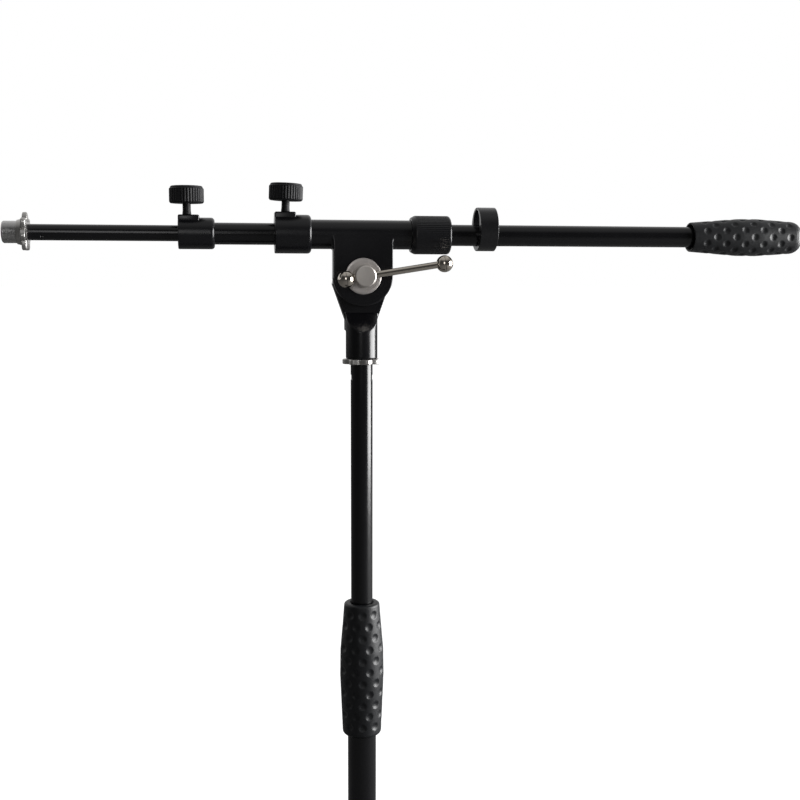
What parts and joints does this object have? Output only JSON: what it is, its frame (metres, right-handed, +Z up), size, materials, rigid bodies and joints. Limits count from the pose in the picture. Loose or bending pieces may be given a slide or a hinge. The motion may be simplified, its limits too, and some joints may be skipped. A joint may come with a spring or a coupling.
{
  "type": "boom microphone stand",
  "caption": "Low microphone stand with a telescoping boom on a half-lap swivel, thumb-knob and twist clamps, rubber grips and a round cast base.",
  "frame": {"origin": "on the floor, on the axis of the post", "axes": "+Z up along the post, -X along the boom towards the microphone thread, -Y towards the pivot bolt's head"},
  "size_m": [0.6044, 0.264, 0.6375],
  "materials": {
    "black_cast_iron": "black powder coat, fine orange peel",
    "black_rubber": "matte moulded rubber with round dimples",
    "zinc_steel": "bright zinc plate",
    "black_paint": "semi-gloss black powder coat",
    "black_casting": "semi-gloss black paint on a die casting",
    "black_plastic": "satin moulded plastic",
    "black_knob": "satin moulded plastic, fluted",
    "black_clip": "satin moulded plastic",
    "white_nylon": "natural nylon",
    "cast_zinc": "nickel plate on a zinc casting",
    "turned_zinc": "satin zinc plate, turned",
    "nickel_steel": "satin nickel plate",
    "brushed_washer": "zinc plate, lathe brushed",
    "chrome_bar": "bright chrome",
    "black_steel": "black oxide"
  },
  "bodies": {
    "base": {"base_plate": "black_cast_iron", "base_ring": "black_rubber", "base_bolt": "zinc_steel", "base_washer": "zinc_steel", "lower_tube_plug": "zinc_steel", "lower_tube": "black_paint", "clutch_collet": "black_plastic"},
    "clutch": {"clutch_housing": "black_plastic", "clutch_grip": "black_rubber"},
    "post_slider": {"post_foot_bush": "white_nylon"},
    "post": {"upper_tube": "black_paint", "upper_stud": "zinc_steel", "swivel_socket": "black_casting", "friction_disc": "white_nylon", "pivot_nut": "zinc_steel"},
    "post_ring": {"post_lock_ring": "cast_zinc"},
    "pivot_bolt": {"pivot_bolt": "nickel_steel"},
    "t_bar": {"t_bar": "chrome_bar", "t_bar_left_ball": "chrome_bar", "t_bar_right_ball": "chrome_bar"},
    "boom_holder": {"swivel_sleeve": "black_casting", "boom_collar": "black_plastic", "boom_knob_pad": "white_nylon", "sleeve_collet": "white_nylon", "pivot_washer": "brushed_washer"},
    "sleeve_clutch": {"sleeve_clutch_ring": "black_plastic"},
    "boom_knob": {"boom_knob": "black_knob", "boom_knob_screw": "black_steel"},
    "boom": {"boom_tube": "black_paint", "extension_collar": "black_plastic", "extension_knob_pad": "white_nylon", "counterweight": "zinc_steel", "boom_grip": "black_rubber"},
    "cable_clip": {"cable_clip": "black_clip"},
    "extension_knob": {"extension_knob": "black_knob", "extension_knob_screw": "black_steel"},
    "extension": {"extension_tube": "black_paint", "extension_bush": "white_nylon", "mic_thread_end": "turned_zinc"},
    "mic_ring": {"mic_lock_ring": "cast_zinc"}
  },
  "joints": [
    {"name": "clutch_twist", "type": "hinge", "parent": "base", "child": "clutch", "pos_m": [0, 0, 0.27], "axis": [0, 0, 1], "range_deg": [0, 120]},
    {"name": "height_slide", "type": "slide", "parent": "base", "child": "post_slider", "axis": [0, 0, 1], "range_m": [-0.11, 0.093]},
    {"name": "post_swivel", "type": "hinge", "parent": "post_slider", "child": "post", "pos_m": [0, 0, 0.5], "axis": [0, 0, 1], "continuous": true},
    {"name": "post_ring_turn", "type": "hinge", "parent": "post", "child": "post_ring", "pos_m": [0, 0, 0.506], "axis": [0, 0, 1], "range_deg": [0, 180]},
    {"name": "pivot_bolt_turn", "type": "hinge", "parent": "post", "child": "pivot_bolt", "pos_m": [0, 0, 0.5694], "axis": [0, -1, 0], "continuous": true},
    {"name": "t_bar_slide", "type": "slide", "parent": "pivot_bolt", "child": "t_bar", "axis": [0.9877, 0, 0.1564], "range_m": [-0.045, 0]},
    {"name": "boom_tilt", "type": "hinge", "parent": "post", "child": "boom_holder", "pos_m": [0, 0, 0.5694], "axis": [0, 1, 0], "range_deg": [-75, 75]},
    {"name": "sleeve_clutch_twist", "type": "hinge", "parent": "boom_holder", "child": "sleeve_clutch", "pos_m": [0.05, 0, 0.6], "axis": [1, 0, 0], "range_deg": [0, 120]},
    {"name": "boom_knob_turn", "type": "hinge", "parent": "boom_holder", "child": "boom_knob", "pos_m": [-0.0563, 0, 0.63], "axis": [0, 0, 1], "range_deg": [0, 360]},
    {"name": "boom_slide", "type": "slide", "parent": "boom_holder", "child": "boom", "axis": [1, 0, 0], "range_m": [-0.016, 0.04]},
    {"name": "cable_clip_slide", "type": "slide", "parent": "boom", "child": "cable_clip", "axis": [1, 0, 0], "range_m": [0, 0.15]},
    {"name": "extension_knob_turn", "type": "hinge", "parent": "boom", "child": "extension_knob", "pos_m": [-0.1274, 0, 0.63], "axis": [0, 0, 1], "range_deg": [0, 360]},
    {"name": "extension_slide", "type": "slide", "parent": "boom", "child": "extension", "axis": [1, 0, 0], "range_m": [-0.14, 0.1]},
    {"name": "mic_ring_turn", "type": "hinge", "parent": "extension", "child": "mic_ring", "pos_m": [-0.241, 0, 0.6], "axis": [1, 0, 0], "continuous": true}
  ]
}
